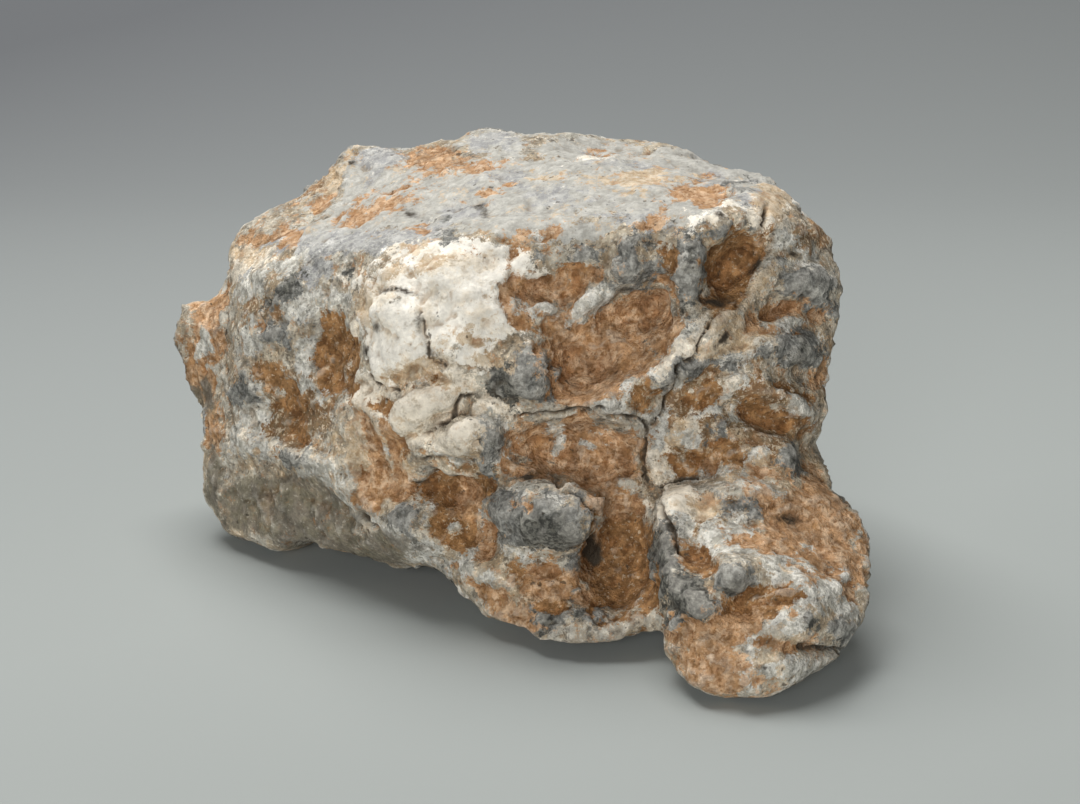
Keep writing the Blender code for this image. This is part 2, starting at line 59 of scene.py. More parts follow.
# Patches of each colour on the face: right and up on the drawing, half length, half width, and
# the turn of the length in degrees.
PATCHES = {
    "umber": (
        (9.3, -1.7, 3.4, 1.5, 0), (7.0, -2.2, 1.7, 1.2, 0), (10.9, 0.3, 1.8, 0.8, 10),
        (-12.5, -0.8, 1.8, 1.4, 0), (-10.6, 0.8, 1.2, 0.9, 60), (-13.4, 1.6, 0.9, 0.6, 0),
        (7.0, 0.6, 1.0, 0.6, 40), (9.7, 1.9, 1.2, 0.4, 10), (8.4, -5.4, 1.1, 0.8, 0),
        (10.0, -5.2, 0.9, 0.5, -10), (7.6, -6.2, 0.9, 0.5, 0), (13.4, 8.2, 0.9, 0.5, 0),
        (11.0, 7.6, 1.0, 0.4, 60), (-3.6, -3.2, 1.4, 0.4, -15), (1.0, -9.9, 1.6, 0.6, 0),
        (-13.6, 4.6, 1.0, 0.6, 0), (5.0, -2.6, 0.5, 1.2, 0), (-11.4, 10.6, 1.0, 0.4, 30),
    ),
    "chalk": (
        (-4.5, 10.2, 6.5, 1.7, 6), (3.5, 10.9, 6.5, 1.5, -4), (-1.0, 9.2, 4.5, 0.9, 0),
        (-9.5, 9.0, 3.0, 0.8, 12), (6.8, 9.9, 2.4, 0.7, -8), (2.2, 8.6, 2.4, 0.5, 10),
        (10.4, 10.5, 1.4, 0.6, -30), (-2.4, 12.9, 1.6, 0.7, 0), (4.5, 12.0, 5.5, 1.0, -5),
        (9.8, 11.2, 2.6, 0.8, -20), (-8.4, 11.2, 1.8, 1.0, 20),
    ),
    "lilac": (
        (-8.2, 12.1, 1.3, 0.8, 0), (-9.8, 7.8, 2.6, 0.7, 9), (-6.2, 8.3, 1.2, 0.5, 20),
        (-12.0, 8.0, 1.3, 0.45, 10), (-2.3, 13.0, 0.9, 0.5, 0), (0.8, 10.1, 1.2, 0.5, 0),
        (-4.2, 9.5, 1.2, 0.35, 10), (8.8, 10.9, 0.9, 0.4, 0), (10.8, 9.9, 0.6, 0.4, 0),
        (3.4, 9.3, 1.0, 0.35, 12), (-11.2, 6.6, 0.8, 0.5, 20), (5.6, 8.9, 0.8, 0.3, 0),
        (-1.3, 11.2, 1.1, 0.3, 0), (5.2, 11.9, 1.2, 0.25, -8), (-14.8, 6.5, 0.5, 0.4, 0),
    ),
    "terracotta": (
        # the central hollow
        (3.2, 2.6, 2.7, 2.1, 20), (4.9, 4.5, 2.1, 1.0, 15), (0.0, 5.4, 1.9, 0.8, 4),
        (1.9, 0.9, 1.5, 1.2, 0), (2.1, 6.4, 1.8, 0.45, 6), (6.2, 6.1, 0.6, 0.5, 0),
        (5.9, 3.6, 1.2, 0.9, 30), (-1.0, 4.6, 0.7, 0.7, 0), (0.9, 3.2, 0.9, 1.5, 0),
        # the recess over the tongue and around it
        (1.8, -1.9, 2.9, 1.1, -5), (2.6, -3.4, 2.3, 0.8, -5), (-0.4, -3.2, 0.9, 0.6, 0),
        (3.7, -5.0, 1.1, 0.9, 0),
        # the foot
        (13.6, -6.6, 2.9, 1.6, -35), (11.2, -6.9, 1.8, 0.5, -15), (15.7, -8.0, 1.4, 0.6, 80),
        (11.0, -3.6, 2.0, 0.35, -8), (14.2, -4.8, 1.5, 1.1, -40), (15.3, -9.3, 0.4, 0.3, 0),
        (8.2, -13.0, 1.8, 1.3, -10), (9.6, -11.4, 1.9, 0.7, 20), (7.3, -11.6, 0.8, 0.9, 0),
        (9.0, -14.2, 1.8, 0.5, 5), (12.0, -12.3, 1.3, 0.3, -5),
        # the streaked folds
        (-2.9, -7.1, 0.9, 0.4, 80), (-1.1, -5.2, 0.4, 0.3, 60),
        (-3.6, -4.9, 0.9, 0.4, -60),
        # the lower rim
        (-2.6, -9.6, 1.4, 0.4, -30), (-1.1, -10.7, 1.2, 0.4, -38), (0.3, -8.9, 1.8, 0.6, 0),
        (2.2, -9.6, 0.5, 0.4, 0),
        # the top
        (8.1, 10.4, 1.2, 0.5, 3), (6.0, 9.5, 0.9, 0.3, 30), (3.6, 12.4, 0.8, 0.35, -10),
        (-5.6, 12.2, 1.3, 0.6, 5), (-3.3, 11.7, 0.9, 0.3, 0),
        (-3.0, 10.4, 0.8, 0.25, 15), (-8.4, 9.8, 1.6, 0.25, 22),
        (-11.1, 9.9, 0.5, 0.3, 0), (-13.2, 8.3, 1.2, 0.5, 10), (-5.8, 8.6, 0.4, 0.28, 0),
        (-0.4, 8.3, 1.4, 0.3, 12), (0.3, 7.5, 1.1, 0.25, 5),
        # the left end
        (-16.6, 3.8, 1.9, 1.0, 92), (-17.2, 1.2, 1.6, 0.9, 100), (-16.1, 5.8, 1.1, 0.5, 90),
        (-16.6, -1.2, 1.3, 0.5, 96), (-14.2, 3.7, 0.45, 0.2, 30), (-14.0, 1.4, 0.7, 0.2, 120),
        (-13.8, -5.4, 0.6, 0.35, 80), (-11.3, -5.0, 0.9, 0.25, -22),
        # the right column
        (14.4, 2.0, 1.4, 0.35, 78), (11.6, 4.5, 1.3, 0.4, 12), (11.0, 3.5, 0.8, 0.3, -5),
        (13.9, 4.2, 0.4, 0.3, 0),
    ),
    "ochre": (
        (9.6, 6.8, 2.0, 1.15, 62), (-10.3, 2.5, 1.8, 1.0, 86), (-9.4, 1.5, 1.4, 0.5, 90),
        (-12.6, -0.2, 0.7, 0.5, 0), (-12.0, -1.2, 0.8, 0.3, 60), (-4.8, -4.3, 2.0, 0.65, -5),
        (3.9, -8.1, 2.6, 1.9, 88), (2.6, -10.2, 0.7, 0.5, 30), (0.6, -10.0, 1.2, 0.6, 0),
        (5.6, -9.6, 1.0, 0.5, 80), (-17.0, 1.0, 1.3, 0.6, 98), (11.6, -0.9, 1.5, 0.65, -14),
        (7.9, -8.0, 1.2, 0.55, -50), (11.0, -10.0, 2.0, 0.8, 18),
        (12.3, -5.8, 0.9, 0.45, -10), (12.5, 0.8, 1.3, 0.35, -22), (6.4, 7.2, 0.35, 0.3, 90),
        (5.1, 0.4, 0.5, 0.35, 60), (-13.2, 1.1, 0.9, 0.4, -30), (8.2, -2.9, 1.4, 0.5, 10),
        (8.6, 0.3, 0.7, 0.3, 30), (-1.2, -8.6, 0.9, 0.4, 10), (12.1, -5.7, 0.8, 0.4, 0),
        (-5.6, 1.1, 0.25, 0.2, 30), (-6.0, -2.5, 0.4, 0.2, 0), (-7.8, -0.2, 0.35, 0.3, 0),
    ),
    "pale": (
        # the white mass
        (-5.0, 5.6, 3.4, 2.0, -6), (-5.6, 3.6, 3.0, 1.9, 0), (-2.9, 6.8, 2.3, 1.1, -8),
        (-2.6, 4.4, 1.6, 1.9, 0), (-7.6, 3.2, 2.1, 1.1, 90), (-3.4, 2.6, 1.2, 0.7, 0),
        # the edge over the scoop and the brow of the foot
        (9.0, 9.3, 0.6, 0.2, 8), (6.7, -4.8, 0.6, 0.8, 0), (-8.8, 0.0, 0.5, 0.5, 0),
        (-5.6, -0.1, 1.9, 0.6, 28), (-3.6, -1.5, 1.2, 0.4, 18),
    ),
    "cream": (
        # the lower part of the white mass and the lumps below it
        (-4.8, 1.5, 1.9, 0.8, -10), (-5.8, -0.3, 2.8, 1.1, 28), (-3.8, -1.8, 1.9, 0.9, 18),
        (-2.6, -0.4, 1.3, 0.5, -10), (-8.4, 0.2, 1.0, 0.9, 0), (-6.4, -1.8, 1.6, 0.5, 25),
        (-4.4, 6.7, 0.8, 0.35, 0), (-8.6, 5.2, 0.5, 0.8, 0), (-9.3, 3.2, 0.3, 1.2, 0),
        # the crests of the column and the brow of the foot
        (6.2, 1.8, 1.3, 0.3, 32), (7.9, 3.6, 1.2, 0.4, 38), (10.4, 2.8, 1.4, 0.25, 12),
        (11.5, 9.2, 0.9, 1.0, 0), (6.9, -5.1, 1.0, 1.1, 0), (5.2, -5.0, 0.6, 0.5, 0),
        (6.1, -2.6, 0.5, 0.8, 0), (7.6, -0.6, 0.8, 0.3, 60), (-13.0, -2.2, 2.4, 0.3, -16),
        (9.0, 0.9, 1.0, 0.25, 20), (12.4, 3.9, 0.5, 0.35, 20), (-14.6, 6.9, 1.0, 0.6, 20),
    ),
    "sand": (
        # the wall of the scoop and the slope behind the foot
        (10.9, 5.8, 1.3, 0.45, 48), (9.1, 4.4, 0.9, 0.5, 40), (10.9, 3.4, 0.9, 0.3, -5),
        (14.3, -4.2, 1.4, 0.6, -45), (10.8, -3.7, 0.9, 0.4, 0), (8.4, -5.2, 0.8, 0.7, 0),
        # between the streaks
        (-8.2, -3.0, 2.3, 1.6, -60),
        # the top
        (3.6, 11.1, 2.4, 0.25, -4), (11.5, 10.0, 0.7, 0.6, 0), (5.6, 11.2, 0.9, 0.4, 0),
        (-15.0, 7.4, 0.8, 0.4, 0), (-10.4, 11.0, 0.9, 0.5, 50),
        # darker tan marks on the white mass
        (-7.1, 6.5, 0.9, 0.22, 28), (-5.8, 7.2, 0.7, 0.2, -10), (-3.3, 3.0, 0.5, 0.25, 0),
        (-5.0, 1.1, 0.9, 0.25, -10), (-3.3, -1.7, 0.7, 0.12, 40), (-6.6, 1.5, 0.9, 0.3, 20),
        (-2.6, 2.2, 0.9, 0.3, -20), (-8.6, 4.6, 0.4, 0.6, 10),
        # the column
        (6.9, -1.6, 0.8, 0.5, 60), (11.3, 0.2, 0.9, 0.25, 0), (8.6, 2.4, 0.6, 0.3, 20),
        (9.0, -2.2, 1.2, 0.6, 0), (5.6, -3.4, 0.4, 0.5, 0),
    ),
    "ash": (
        # around the cream lumps
        (-1.8, -2.2, 0.8, 0.7, 0), (-2.2, -1.2, 0.7, 0.3, 0), (-4.9, -2.7, 1.2, 0.25, -10),
        # the crests of the column
        (4.2, 0.6, 1.1, 0.4, 25), (5.6, 1.3, 0.8, 0.3, 32), (7.2, 3.2, 0.8, 0.25, 38),
        (10.6, 2.4, 1.5, 0.3, 12), (5.4, -0.5, 0.8, 0.35, 0), (3.6, -0.1, 0.8, 0.3, 0),
        (9.6, 0.4, 1.2, 0.3, 18), (11.4, 1.1, 0.9, 0.25, -8), (12.9, -0.1, 0.7, 0.25, -45),
        (12.5, 3.6, 0.8, 0.4, 20), (12.9, 7.0, 0.9, 0.4, 0), (12.3, 8.2, 0.7, 0.7, 0),
        (12.9, 2.6, 1.2, 0.8, 0), (6.0, -1.8, 0.4, 0.6, 0), (8.2, -0.4, 0.6, 0.3, 30),
        (10.2, -2.9, 0.8, 0.3, 0), (8.3, -3.4, 1.0, 0.3, -10), (9.0, 0.0, 0.5, 0.6, 0),
        (7.6, -2.0, 0.5, 0.5, 0), (9.9, -0.6, 0.4, 0.6, 0),
        # the foot
        (7.0, -6.1, 0.8, 0.5, -40), (9.1, -6.9, 1.2, 0.8, -40), (12.8, -9.0, 1.9, 1.1, -38),
        (14.6, -9.8, 1.3, 0.7, -10), (15.2, -8.9, 0.9, 0.5, 60), (11.9, -13.5, 2.0, 0.65, 10),
        (10.4, -12.8, 0.9, 0.4, 100), (11.4, -7.9, 0.9, 0.4, -35), (10.9, -4.4, 1.3, 0.35, -18),
        (12.5, -11.1, 1.3, 0.45, 15),
        # the tongue's rim and the lower edge
        (-0.9, -4.6, 1.3, 0.25, -8), (-1.7, -7.2, 1.2, 0.4, -30), (-12.8, -2.7, 2.8, 0.5, -16),
        (-9.6, -4.9, 1.5, 0.45, -42), (-4.6, -8.1, 1.9, 0.35, -22), (-4.2, -6.1, 0.45, 0.4, 0),
        (-7.0, -6.5, 1.3, 0.5, -35), (-5.9, -7.4, 0.8, 0.4, -30),
        # the left face
        (-11.7, 4.9, 1.3, 0.6, 25), (-14.4, 5.6, 1.0, 0.6, 20), (-14.3, 3.2, 0.6, 1.1, 0),
        (-14.4, 0.0, 0.7, 1.3, 0), (-11.8, 2.2, 0.45, 0.9, -30), (-0.2, 7.9, 0.6, 0.25, 0),
        (-10.3, 5.4, 1.1, 0.45, 10), (-11.0, 0.2, 0.5, 0.4, 20), (-12.8, 6.6, 1.0, 0.35, 15),
    ),
    "slate": (
        (4.6, 7.0, 1.7, 0.6, 88), (7.4, 6.6, 1.8, 0.75, 90), (5.5, 6.9, 0.6, 0.5, 0),
        (4.8, 8.3, 0.45, 0.3, 0), (2.6, 7.4, 1.2, 0.3, 12), (3.1, 5.4, 1.0, 0.5, 32),
        (2.0, 4.3, 0.8, 0.45, 32), (0.2, 4.6, 0.7, 0.2, -12), (-0.3, 1.2, 1.3, 1.1, 20),
        (-1.6, 0.8, 0.8, 0.4, -30), (-12.7, 5.5, 0.7, 0.28, 35), (12.9, 2.6, 1.2, 0.9, 0),
        (13.0, 6.0, 1.3, 0.8, 0), (14.2, 4.8, 0.6, 0.5, 0), (8.1, 1.7, 1.2, 0.35, 12),
        (6.3, 1.2, 0.6, 0.3, 32), (-0.2, -6.0, 2.3, 1.5, -5), (0.8, -6.7, 1.3, 0.8, 12),
        (-1.8, -5.3, 1.1, 0.6, 90), (-2.4, -2.9, 1.1, 0.5, 85), (6.2, -7.8, 1.1, 0.6, 90),
        (7.7, -9.8, 1.3, 0.65, -40), (9.9, -8.9, 1.0, 0.7, -10), (12.5, -3.0, 0.7, 0.6, 90),
        (10.6, -5.3, 1.0, 0.4, -16), (15.0, -11.3, 0.9, 0.5, 20), (0.5, -10.7, 1.0, 0.6, 0),
        (2.6, -10.7, 1.1, 0.6, 0), (1.6, -8.9, 1.0, 0.35, 88), (13.1, -11.1, 0.3, 0.25, 0),
        (-13.1, 3.4, 0.7, 0.5, 0), (-11.6, 4.0, 0.6, 0.2, 0), (-14.5, 0.6, 0.7, 0.5, 90),
        (-12.2, -2.8, 0.6, 0.3, -15), (-4.5, 8.5, 0.5, 0.28, 0), (10.0, 10.8, 0.5, 0.2, 0),
        (8.7, 8.7, 0.7, 0.25, 10), (11.2, 2.3, 0.5, 0.3, 0), (-14.4, -2.1, 0.4, 0.3, 0),
        (9.0, -1.4, 0.8, 0.3, 60), (7.2, -10.9, 0.5, 0.3, 0), (-6.6, -6.2, 0.9, 0.4, -60),
    ),
    # dark clasts, and painted shade under the tongue, on the lower lumps of the foot, under the keel and
    # on the dark left side of the clast
    "basalt_and_shade": (
        (0.7, -6.5, 1.7, 0.95, -8), (7.6, -9.9, 1.3, 1.0, -40), (6.2, -7.8, 1.3, 0.7, 90),
        (7.5, 7.0, 0.3, 1.1, 0),
        (-2.0, 1.3, 0.8, 0.5, -50), (-1.5, 0.3, 0.6, 0.35, -60), (9.6, -9.2, 0.6, 0.3, 0),
        (12.6, -3.2, 0.5, 0.35, 0), (-12.8, 5.6, 0.5, 0.2, 35), (-9.5, 6.4, 0.35, 0.2, 0),
        (13.6, -11.2, 0.4, 0.25, 0), (4.8, 8.2, 0.4, 0.25, 0), (-2.1, -2.9, 0.5, 0.25, 85),
        (0.2, -10.9, 0.7, 0.3, 0), (13.2, 2.4, 0.5, 0.25, 0),
    ),
    # the dull olive band under the lower left edge: partly the stone's own tone, partly painted shade of
    # the undercut
    "olive": (
        (-12.6, -5.4, 4.2, 1.5, -12), (-8.2, -7.2, 2.2, 0.8, -10), (-16.2, -3.8, 1.6, 0.6, 90),
        (-16.9, 0.2, 1.0, 0.4, 110),
    ),
    "island": (
        # grey clasts that stand in the soil of the hollows
        (2.2, 4.5, 1.0, 0.45, 32), (3.3, 5.5, 0.8, 0.4, 32), (0.3, 4.6, 0.7, 0.25, -12),
        (0.8, -1.3, 0.35, 0.22, 0), (1.1, -2.1, 0.3, 0.25, 0), (2.3, -2.1, 0.4, 0.22, 10),
        (-0.3, 8.2, 0.45, 0.2, 0), (15.4, -8.6, 0.4, 0.4, 0), (13.3, -7.3, 0.3, 0.2, 0),
        (-12.0, 0.8, 0.4, 0.3, 20), (-10.9, -0.8, 0.35, 0.25, 0), (6.8, 1.0, 0.4, 0.3, 30),
        (12.6, -0.6, 0.35, 0.2, 0), (9.8, -6.0, 0.4, 0.2, -20), (-16.9, 2.7, 0.4, 0.3, 60),
    ),
    # black specks and pits, and painted shadow in the deep hollow beside the tongue, under the cream lumps
    # and beside the clast
    "soot_and_shadow": (
        (-8.4, 2.5, 0.35, 0.14, 70), (-8.1, 3.7, 0.2, 0.17, 0), (-9.5, 11.8, 0.16, 0.14, 0),
        (9.0, 9.3, 0.22, 0.12, 0), (12.6, 7.5, 0.2, 0.15, 0), (14.2, 7.4, 0.22, 0.15, 0),
        (9.3, 3.3, 0.35, 0.17, 50), (-5.6, -3.0, 0.25, 0.12, 0), (-4.9, -2.9, 0.2, 0.1, 60),
        (-3.1, 9.7, 0.35, 0.14, 0), (-6.5, 9.5, 0.3, 0.1, -12), (-6.8, 5.5, 0.9, 0.16, -5),
        (-5.6, 2.7, 0.5, 0.12, 100), (-5.1, 2.0, 0.35, 0.1, -30), (-16.0, 7.6, 0.5, 0.1, 85),
        (2.9, -7.6, 0.8, 0.4, 100), (8.7, 5.2, 0.6, 0.15, 0), (10.6, 6.9, 0.4, 0.15, 60),
        (-2.1, 0.9, 0.5, 0.14, 50), (-1.9, 0.1, 0.4, 0.15, -40), (-3.7, 0.4, 0.3, 0.14, 0),
        (4.4, 5.5, 0.3, 0.1, 0), (-6.0, 3.9, 0.25, 0.08, 80), (7.0, -7.4, 0.25, 0.12, 100),
        (-4.1, -3.8, 0.25, 0.12, -60), (-6.3, -3.8, 0.3, 0.13, -30), (14.0, 1.5, 0.4, 0.08, 80),
        (-0.6, -3.5, 0.4, 0.15, 0), (12.6, -5.9, 0.5, 0.12, -10), (-2.2, 5.9, 0.15, 0.12, 0),
    ),
}

# Cracks in the face: half width, depth, and the line on the drawing.
CRACKS = {
    "main crack": (
        0.1, 0.6,
        ((8.6, 4.3), (8.0, 3.2), (7.9, 2.5), (7.5, 2.05), (6.9, 1.7), (6.8, 1.0), (6.5, 0.2),
         (6.1, -0.6), (5.5, -1.0), (4.8, -0.9), (3.4, -0.7)),
    ),
    "crack down to the foot": (0.12, 0.5, ((5.3, -1.1), (5.2, -2.4), (5.2, -3.3), (5.4, -4.2))),
    "crack over the foot": (0.12, 0.5, ((5.9, -4.3), (6.4, -3.9), (7.1, -3.7), (7.8, -3.6))),
    "crack in the foot": (0.12, 0.5, ((6.1, -4.5), (6.4, -6.0), (6.8, -6.9), (7.1, -7.6))),
    "crack over the tongue": (
        0.14, 0.7, ((0.8, -4.1), (1.5, -4.5), (2.2, -4.9), (2.9, -5.5), (3.0, -6.2), (2.6, -7.0)),
    ),
    "crack under the clast": (0.11, 0.4, ((-1.2, -0.9), (0.0, -0.7), (1.4, -0.5), (3.0, -0.3))),
    "crack in the clast": (0.1, 0.35, ((2.0, -0.7), (2.5, -0.5), (3.1, -0.1))),
    "crack in the left edge": (0.13, 0.5, ((-9.1, -5.4), (-8.7, -5.9), (-8.2, -6.2))),
    "cracks in the white mass": (0.1, 0.35, ((-6.0, 4.4), (-5.7, 3.4), (-5.6, 2.4), (-5.1, 1.9))),
    "crack by the lump": (0.1, 0.3, ((-8.5, 2.2), (-8.5, 1.3), (-7.8, 0.8), (-7.1, 0.7))),
    "crack at the top edge": (0.11, 0.4, ((11.5, 9.8), (11.3, 9.2), (11.15, 8.6))),
    "split of the foot": (0.16, 0.6, ((13.0, -12.2), (14.2, -12.35), (15.2, -12.4))),
    "crease between the lumps": (
        0.13, 0.45, ((-3.9, 0.3), (-4.2, -0.5), (-4.7, -1.0), (-5.2, -1.4), (-5.6, -1.6)),
    ),
    "crease of the shoulder": (0.05, 0.2, ((-15.6, 5.8), (-15.7, 3.0), (-15.6, 1.0), (-15.2, -2.2))),
}

# Rings of a colour on the face: right and up on the drawing, radius, and half width of the band.
RINGS = {
    "ochre": ((-4.2, -6.2, 0.85, 0.4),),
    "ash": ((-4.2, -6.2, 1.5, 0.24),),
}

# Raised and sunken forms on the face: right and up on the drawing, half length, half width, the
# turn of the length in degrees, and the height.
FORMS = (
    # the cream lumps, the creases between them and the band below
    (-5.9, -0.4, 2.7, 0.9, 28, 0.35), (-3.8, -1.8, 1.9, 0.8, 18, 0.3), (-2.6, -0.5, 1.2, 0.45, -10, 0.2),
    (-8.7, -0.1, 0.6, 0.6, 0, 0.2), (-7.8, -0.2, 0.35, 0.35, 0, -0.2), (-4.8, -4.3, 1.9, 0.6, -5, -0.35),
    (-4.2, -6.2, 1.5, 1.3, 0, 0.15), (-2.4, -3.0, 1.0, 0.6, 85, 0.2),
    # the white mass
    (-6.9, 4.6, 1.2, 0.9, 20, 0.15), (-4.2, 6.9, 1.7, 0.6, 12, 0.15), (-3.2, 4.8, 1.3, 0.8, -20, 0.15),
    (-6.9, 2.4, 0.9, 0.8, 60, 0.2), (-4.6, 3.0, 0.9, 0.6, 0, 0.15), (-5.3, 1.3, 1.0, 0.25, -20, -0.2),
    # the column
    (10.6, 2.6, 1.6, 0.4, 14, 0.25), (12.4, 3.8, 0.8, 0.5, 20, 0.2), (12.0, 4.5, 1.4, 0.25, 18, -0.2),
    (13.4, 5.9, 1.3, 0.9, 0, 0.2), (9.3, 0.8, 1.4, 0.4, 15, 0.2), (11.5, -1.3, 1.3, 0.5, -10, -0.3),
    (12.8, 0.0, 0.9, 0.3, -50, 0.15), (13.1, 2.4, 0.8, 0.6, 0, 0.2), (7.6, -0.9, 0.9, 0.4, 70, 0.2),
    (8.6, -1.9, 0.6, 0.5, 0, -0.2), (10.2, -2.6, 0.8, 0.4, 0, 0.2), (11.4, 7.7, 1.2, 0.3, 62, -0.2),
    # the foot
    (9.7, -8.8, 0.8, 0.7, 0, 0.25), (7.5, -9.8, 1.1, 0.7, -35, 0.15), (7.9, -7.6, 0.8, 0.4, -60, -0.2),
    (11.6, -9.6, 1.3, 0.4, 20, 0.35), (13.2, -10.8, 0.8, 0.5, 0, 0.2), (8.2, -5.0, 0.7, 0.6, 0, -0.2),
    (10.8, -4.4, 1.2, 0.4, -18, 0.2), (11.9, -5.5, 0.8, 0.35, -15, 0.2),
    # the clast, the hollow's shelf, the top and the ridge over the lower left edge
    (-0.3, 1.2, 1.2, 0.9, 20, 0.3), (2.7, 5.0, 1.4, 0.45, 32, 0.3), (0.3, 4.6, 0.7, 0.25, -12, 0.25),
    (-7.9, 12.0, 0.9, 0.7, 0, 0.25), (-12.8, -2.4, 2.8, 0.55, -16, 0.25), (-9.4, -4.6, 1.5, 0.5, -42, 0.2),
)


def places_on_drawing(points):
    """Where each point appears on the drawing: how far right, and how far up."""
    from_eye = points - EYE
    scale = DRAWING_DISTANCE / (from_eye @ AHEAD)
    return from_eye @ ACROSS * scale, from_eye @ UPWARD * scale


def smooth_step(low, high, value):
    share = np.clip((value - low) / (high - low), 0, 1)
    return share * share * (3 - 2 * share)


# Large odd numbers that turn a cell and a seed into one number that looks random.
CELL_MIX = (73856093, 19349663, 83492791)
SEED_MIX = 40503
MIX_ROUNDS = ((15, 2246822519), (13, 3266489917))  # shift, and the number to multiply by
LAST_SHIFT = 16
LARGEST = 0xFFFFFFFF


def hashed(cells, seed):
    """A repeatable number from 0 to 1 for each whole-numbered cell."""
    x, y, z = (cells[..., axis] * mix for axis, mix in enumerate(CELL_MIX))
    mixed = (x ^ y ^ z ^ seed * SEED_MIX) & LARGEST
    for shift, mix in MIX_ROUNDS:
        mixed = (mixed ^ mixed >> shift) * mix & LARGEST
    return (mixed ^ mixed >> LAST_SHIFT) / LARGEST


CORNERS = [(x, y, z) for x in (0, 1) for y in (0, 1) for z in (0, 1)]


def noise(points, length, seed):
    """Smooth noise from -1 to 1, with waves of about this length."""
    scaled = points / length
    cell = np.floor(scaled).astype(np.int64)
    inner = scaled - cell
    inner = inner * inner * (3 - 2 * inner)
    total = np.zeros(len(points))
    for corner in CORNERS:
        weight = np.prod(np.where(corner, inner, 1 - inner), axis=1)
        total += weight * hashed(cell + corner, seed)
    return total * 2 - 1


def rough_noise(points, length, octaves, seed):
    """Noise with finer and fainter noise on it."""
    total = np.zeros(len(points))
    for octave in range(octaves):
        total += noise(points, length / 2**octave, seed + octave) / 2**octave
    return total


NEIGHBOURS = [(x, y, z) for x in (-1, 0, 1) for y in (-1, 0, 1) for z in (-1, 0, 1)]


def nearby_middles(points, size, seed):
    """For pebbles strewn through space, those around each point: cell, way from it, and gap."""
    scaled = points / size
    cell = np.floor(scaled).astype(np.int64)
    for neighbour in NEIGHBOURS:
        other = cell + neighbour
        middle = other + np.stack([hashed(other, seed + axis) for axis in range(3)], axis=1)
        away = scaled - middle
        yield other, away, np.linalg.norm(away, axis=1)


def pebbles(points, size, seed):
    """How far the nearest pebble is, in sizes, and its own number from 0 to 1."""
    nearest = np.full(len(points), np.inf)
    number = np.zeros(len(points))
    for cell, _, gap in nearby_middles(points, size, seed):
        number = np.where(gap < nearest, hashed(cell, seed + 3), number)
        nearest = np.minimum(nearest, gap)
    return nearest, number


def crumbs(points, size, seed):
    """Broken facets: each crumb of this size has its own height and tilt, from about -1 to 1."""
    nearest = np.full(len(points), np.inf)
    height = np.zeros(len(points))
    for cell, away, gap in nearby_middles(points, size, seed):
        tilt = np.stack([hashed(cell, seed + 4 + axis) * 2 - 1 for axis in range(3)], axis=1)
        facet = hashed(cell, seed + 3) * 2 - 1 + (away * tilt).sum(axis=1)
        height = np.where(gap < nearest, facet, height)
        nearest = np.minimum(nearest, gap)
    return height


def points_of(mesh):
    flat = np.empty(len(mesh.vertices) * 3)
    mesh.vertices.foreach_get("co", flat)
    return flat.reshape(-1, 3) / MM


def normals_of(mesh):
    flat = np.empty(len(mesh.vertices) * 3)
    mesh.vertices.foreach_get("normal", flat)
    return flat.reshape(-1, 3)


def place_points(mesh, points):
    mesh.vertices.foreach_set("co", (points * MM).ravel())
    mesh.update()


def averaged_over_neighbours(mesh, values, repeat):
    """The values at the vertices, evened out along the edges."""
    ends = np.empty(len(mesh.edges) * 2, dtype=np.int32)
    mesh.edges.foreach_get("vertices", ends)
    ends = ends.reshape(-1, 2)
    count = np.bincount(ends.ravel(), minlength=len(values))
    for _ in range(repeat):
        total = np.bincount(ends[:, 0], values[ends[:, 1]], len(values))
        total += np.bincount(ends[:, 1], values[ends[:, 0]], len(values))
        values = (values + total / count) / 2
    return values


GRAZING = (-0.05, 0.2)  # a face turns out of sight between these cosines of its slant
RAY_START = 3 * SKIN_CELL  # rays to the eye point start this far off the skin
SIGHT_BLUR = 5  # how often the edge of what is seen is evened out


def share_seen(mesh, points):
    """1 where a vertex is in plain sight of the eye point, falling to 0 where it is hidden."""
    to_eye = EYE - points
    to_eye /= np.linalg.norm(to_eye, axis=1)[:, None]
    facing = smooth_step(*GRAZING, (normals_of(mesh) * to_eye).sum(axis=1))
    tree = BVHTree.FromPolygons([Vector(p) for p in points], [f.vertices[:] for f in mesh.polygons])
    clear = np.array([
        tree.ray_cast(Vector(p + ray * RAY_START), Vector(ray))[0] is None
        for p, ray in zip(points, to_eye)
    ])
    return averaged_over_neighbours(mesh, facing * clear, SIGHT_BLUR)


FADE = 0.6  # how fast a patch's field falls outside its edge, against inside it


def distance_in_patch(right, up, patch):
    """0 in the middle of an oval patch and 1 on its edge."""
    centre_right, centre_up, half_length, half_width, turn = patch
    angle = math.radians(turn)
    along = (right - centre_right) * math.cos(angle) + (up - centre_up) * math.sin(angle)
    beside = (up - centre_up) * math.cos(angle) - (right - centre_right) * math.sin(angle)
    return np.hypot(along / half_length, beside / half_width)


def patch_field(right, up, patches, rings=()):
    """0.5 on the edge of the nearest patch or ring, and more inside it."""
    field = np.zeros(len(right))
    for patch in patches:
        depth = (1 - distance_in_patch(right, up, patch)) * min(*patch[2:4], 1)
        field = np.maximum(field, 0.5 + np.where(depth > 0, depth, FADE * depth))
    for centre_right, centre_up, radius, half_width in rings:
        off_ring = np.abs(np.hypot(right - centre_right, up - centre_up) - radius)
        field = np.maximum(field, 0.5 + half_width - off_ring)
    return np.clip(field, 0, 1)


FORM_EDGE = (1.2, 0.5)  # a form rises from the first to the second of these shares of its oval


def form_heights(right, up):
    """How far the raised and sunken forms stand out at each place."""
    heights = np.zeros(len(right))
    for *patch, height in FORMS:
        heights += height * smooth_step(*FORM_EDGE, distance_in_patch(right, up, patch))
    return heights


